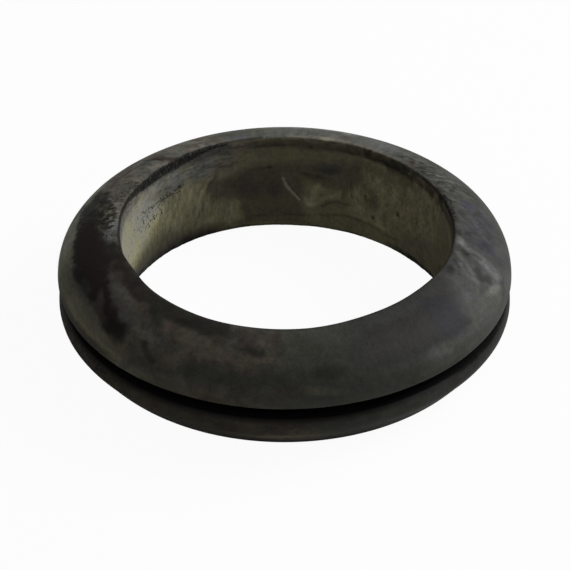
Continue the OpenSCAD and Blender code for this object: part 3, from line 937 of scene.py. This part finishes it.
def rubber_material():
    """Matt black rubber under the coat: bloom, wetted rubber, crust, and painted shade in the groove and
    along the edges.
    """
    material = bpy.data.materials.new("bloomed_rubber")
    g = Graph(material)
    wrap, slanted = g.attribute("wrap", "Vector"), g.attribute("slanted_wrap", "Vector")
    blots = g.noise(wrap, 0.46, 4, 0.62, 0.4)
    cloud, fine, grain = bloom_cloud(g, wrap, slanted, blots)
    wet = ragged_edge(g, wrap, "wet", 1.0)
    crust = ragged_edge(g, wrap, "crust", 4.2)
    share = bloom_share(g, wrap, cloud, wet, crust)
    # Painted shade: where its field is 1 the rubber turns near-black and fully rough, with no gloss
    deep = g.attribute("deep")
    rubber = g.mix(deep, g.mix(wet, BLACK_RUBBER, WET_RUBBER), PAINTED_SHADE_BLACK)
    rubber = g.mix(crust, rubber, CRUST)
    roughness = g.spread(share, 0.0, 0.4, BARE_ROUGHNESS, DUSTY_ROUGHNESS)
    shader = g.node("ShaderNodeBsdfPrincipled", {
        "Base Color": g.mix(share, rubber, bloom_tint(g, wrap)),
        "Roughness": g.math("MAXIMUM", roughness, deep),
        "Specular IOR Level": 0.12,
        "Sheen Weight": 0.02,
        "Sheen Roughness": 0.4,
        "Normal": g.bump(fine, GRAIN_DEPTH, g.bump(grain, PORE_DEPTH)),
    })
    g.node("ShaderNodeOutputMaterial", {"Surface": shader.outputs["BSDF"]})
    return material


def floor_material():
    """White to the camera, with the object's shadow kept; a plain pale floor for all other light."""
    material = bpy.data.materials.new("white_floor")
    g = Graph(material)
    paper = g.node("ShaderNodeBsdfDiffuse", {"Color": (0.8, 0.8, 0.8, 1)}).outputs[0]
    glow = g.node("ShaderNodeEmission", {"Strength": 1.0}).outputs[0]
    seen = g.node("ShaderNodeMixShader", {0: FLOOR_SHADOW_SHARE, 1: glow, 2: paper}).outputs[0]
    camera_ray = g.node("ShaderNodeLightPath").outputs["Is Camera Ray"]
    chosen = g.node("ShaderNodeMixShader", {0: camera_ray, 1: paper, 2: seen}).outputs[0]
    g.node("ShaderNodeOutputMaterial", {"Surface": chosen})
    return material


def build_ring():
    """The one piece: the ring's mesh with its coat and its rubber."""
    mesh = ring_mesh("rubber_ring")
    store_wrap(mesh, "wrap")
    store_wrap(mesh, "slanted_wrap", STREAK_TWIST)
    lay_coat()
    for name, values in coat.items():
        store(mesh, name, values)
    ring = bpy.data.objects.new("rubber_ring", mesh)
    bpy.context.scene.collection.objects.link(ring)
    mesh.materials.append(rubber_material())
    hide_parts("grommet")
    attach(ring, "root")


# Stage, lamps and camera, in metres

FLOOR_SIDE = 3.0
FLOOR_GAP = 0.00005
FLOOR_SHADOW_SHARE = 0.05
WORLD_LEVEL = 0.16

# Azimuths run from +X towards the back
Lamp = namedtuple("Lamp", "name azimuth elevation distance width watts")
LAMPS = [
    Lamp("key_right", 20, 38, 0.9, 0.5, 8.0),
    Lamp("fill_front", 262, 40, 1.1, 0.8, 1.4),
]


def direction(azimuth, elevation):
    """The unit vector that points that way from the ring."""
    a, e = math.radians(azimuth), math.radians(elevation)
    return Vector((math.cos(a) * math.cos(e), math.sin(a) * math.cos(e), math.sin(e)))


def add_lamp(lamp):
    """A round white lamp that faces the ring's middle."""
    light = bpy.data.lights.new(lamp.name, "AREA")
    light.shape = "DISK"
    light.size = lamp.width
    light.energy = lamp.watts
    holder = bpy.data.objects.new(lamp.name, light)
    towards = direction(lamp.azimuth, lamp.elevation)
    holder.location = towards * lamp.distance + Vector((0, 0, TOP_Z * MM / 2))
    holder.rotation_euler = towards.to_track_quat("Z", "Y").to_euler()
    bpy.context.scene.collection.objects.link(holder)


def add_floor():
    """A plain square just under the ring's foot."""
    half = FLOOR_SIDE / 2
    corners = [(x, y, -FLOOR_GAP) for x, y in ((-half, -half), (half, -half), (half, half), (-half, half))]
    mesh = bpy.data.meshes.new("floor")
    mesh.from_pydata(corners, [], [(0, 1, 2, 3)])
    floor = bpy.data.objects.new("floor", mesh)
    mesh.materials.append(floor_material())
    bpy.context.scene.collection.objects.link(floor)


def add_world():
    """Dim even light from all round, and white where the camera looks past the floor."""
    world = bpy.data.worlds.new("studio")
    bpy.context.scene.world = world
    g = Graph(world)
    camera_ray = g.node("ShaderNodeLightPath").outputs["Is Camera Ray"]
    level = g.node("ShaderNodeMapRange", {"Value": camera_ray, "To Min": WORLD_LEVEL}).outputs["Result"]
    sky = g.node("ShaderNodeBackground", {"Color": (1, 1, 1, 1), "Strength": level}).outputs[0]
    g.node("ShaderNodeOutputWorld", {"Surface": sky})


# The photograph's camera, worked out from the ring's outlines; sensor and lens in millimetres
CAMERA_ELEVATION = 35.6
CAMERA_DISTANCE = 0.400
CAMERA_RIGHT = 0.00006
CAMERA_UP = -0.00874
SENSOR_WIDTH = 36.0
FOCAL_LENGTH = 165.6


def add_camera():
    """The camera in front of the ring, level from side to side."""
    camera = bpy.data.cameras.new("camera")
    camera.sensor_width = SENSOR_WIDTH
    camera.lens = FOCAL_LENGTH
    camera.clip_start = 0.01
    holder = bpy.data.objects.new("camera", camera)
    back = direction(270, CAMERA_ELEVATION)
    turned = back.to_track_quat("Z", "Y")
    slide = turned @ Vector((CAMERA_RIGHT, CAMERA_UP, 0))
    holder.location = back * CAMERA_DISTANCE + slide + Vector((0, 0, TOP_Z * MM))
    holder.rotation_euler = turned.to_euler()
    bpy.context.scene.collection.objects.link(holder)
    bpy.context.scene.camera = holder


build_ring()
add_floor()
add_world()
for lamp in LAMPS:
    add_lamp(lamp)
add_camera()
bpy.context.scene.view_settings.view_transform = "Standard"
